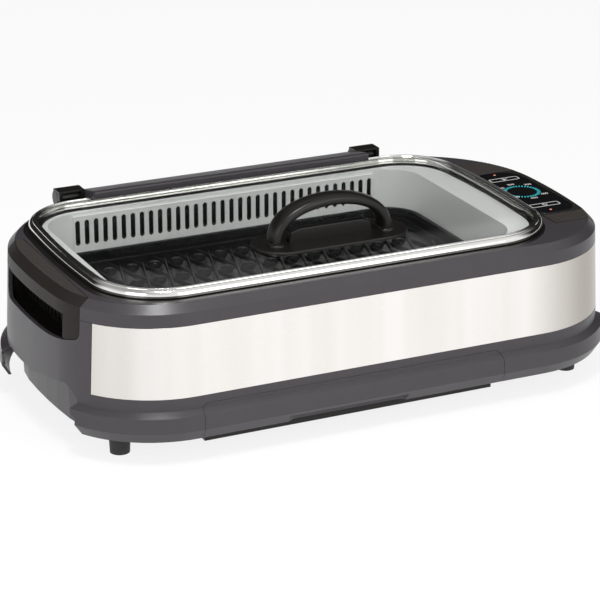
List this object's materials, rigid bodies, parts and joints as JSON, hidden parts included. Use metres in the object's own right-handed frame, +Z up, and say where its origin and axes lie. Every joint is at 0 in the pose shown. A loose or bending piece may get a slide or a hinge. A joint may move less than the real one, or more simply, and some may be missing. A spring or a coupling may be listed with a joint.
{
  "type": "indoor grill",
  "caption": "Countertop electric grill with a hinged glass lid, ridged plate in a steel well, slide-out drip tray, smoke fan and touch controls.",
  "frame": {"origin": "middle of the footprint, on the surface that the feet stand on", "axes": "+X right seen from the front, -Y the front with the drawer, +Z up"},
  "size_m": [0.5366, 0.3216, 0.1939],
  "materials": {
    "dark_plastic": "satin moulded plastic",
    "black_plastic": "matt moulded plastic",
    "cap_plastic": "finely ribbed moulded plastic",
    "satin_steel": "satin stainless steel",
    "sheet_metal": "zinc coated sheet",
    "bright_steel": "polished stainless steel",
    "screw_steel": "zinc plated",
    "nonstick": "black non-stick coating on cast aluminium",
    "element_sheath": "oxidised steel sheath",
    "ceramic": "unglazed ceramic",
    "bakelite": "brown bakelite",
    "lens_black": "gloss black lens",
    "light_guide": "milky teal light guide",
    "circuit_board": "green solder mask",
    "brass": "brass blades",
    "clear_glass": "clear tempered glass",
    "rubber": "black silicone rubber"
  },
  "bodies": {
    "base": {"base_housing": "dark_plastic", "bottom_pan": "black_plastic", "body_screws": "screw_steel", "steel_band": "satin_steel", "upper_bezel": "dark_plastic", "left_side_cap": "cap_plastic", "right_side_cap": "cap_plastic", "left_vent_grille": "black_plastic", "right_vent_grille": "black_plastic", "inner_liner": "satin_steel", "rear_air_grille": "satin_steel", "air_duct": "black_plastic", "grill_plate": "nonstick", "heating_element": "element_sheath", "element_brackets": "sheet_metal", "element_bushes": "ceramic", "thermostat": "bakelite", "thermal_fuse": "ceramic", "left_tray_runner": "sheet_metal", "right_tray_runner": "sheet_metal", "runner_screws": "screw_steel", "fan_frame": "black_plastic", "fan_screws": "screw_steel", "fan_motor": "sheet_metal", "control_lens": "lens_black", "light_ring": "light_guide", "touch_pads": "screw_steel", "control_board": "circuit_board", "board_screws": "screw_steel", "power_board": "circuit_board", "power_board_screws": "screw_steel", "power_inlet": "black_plastic", "inlet_pins": "brass", "hinge_blocks": "black_plastic", "hinge_block_screws": "screw_steel", "front_left_foot": "rubber", "front_right_foot": "rubber", "rear_left_foot": "rubber", "rear_right_foot": "rubber", "foot_screws": "screw_steel"},
    "lid": {"lid_glass": "clear_glass", "lid_rim": "bright_steel", "lid_seal": "rubber", "hinge_bar": "dark_plastic", "hinge_pins": "bright_steel", "handle_base": "black_plastic", "handle_arch": "black_plastic", "handle_gasket": "rubber", "handle_screws": "screw_steel"},
    "tray": {"drip_tray": "black_plastic", "drawer_front": "dark_plastic"},
    "fan_rotor": {"fan_shaft": "bright_steel", "fan_impeller": "black_plastic"}
  },
  "joints": [
    {"name": "lid_hinge", "type": "hinge", "parent": "base", "child": "lid", "pos_m": [-0.0125, 0.153, 0.14], "axis": [-1, 0, 0], "range_deg": [0, 95]},
    {"name": "tray_slide", "type": "slide", "parent": "base", "child": "tray", "axis": [0, -1, 0], "range_m": [0, 0.2]},
    {"name": "fan_spin", "type": "hinge", "parent": "base", "child": "fan_rotor", "pos_m": [0.19, -0.015, 0.088], "axis": [1, 0, 0], "continuous": true}
  ]
}
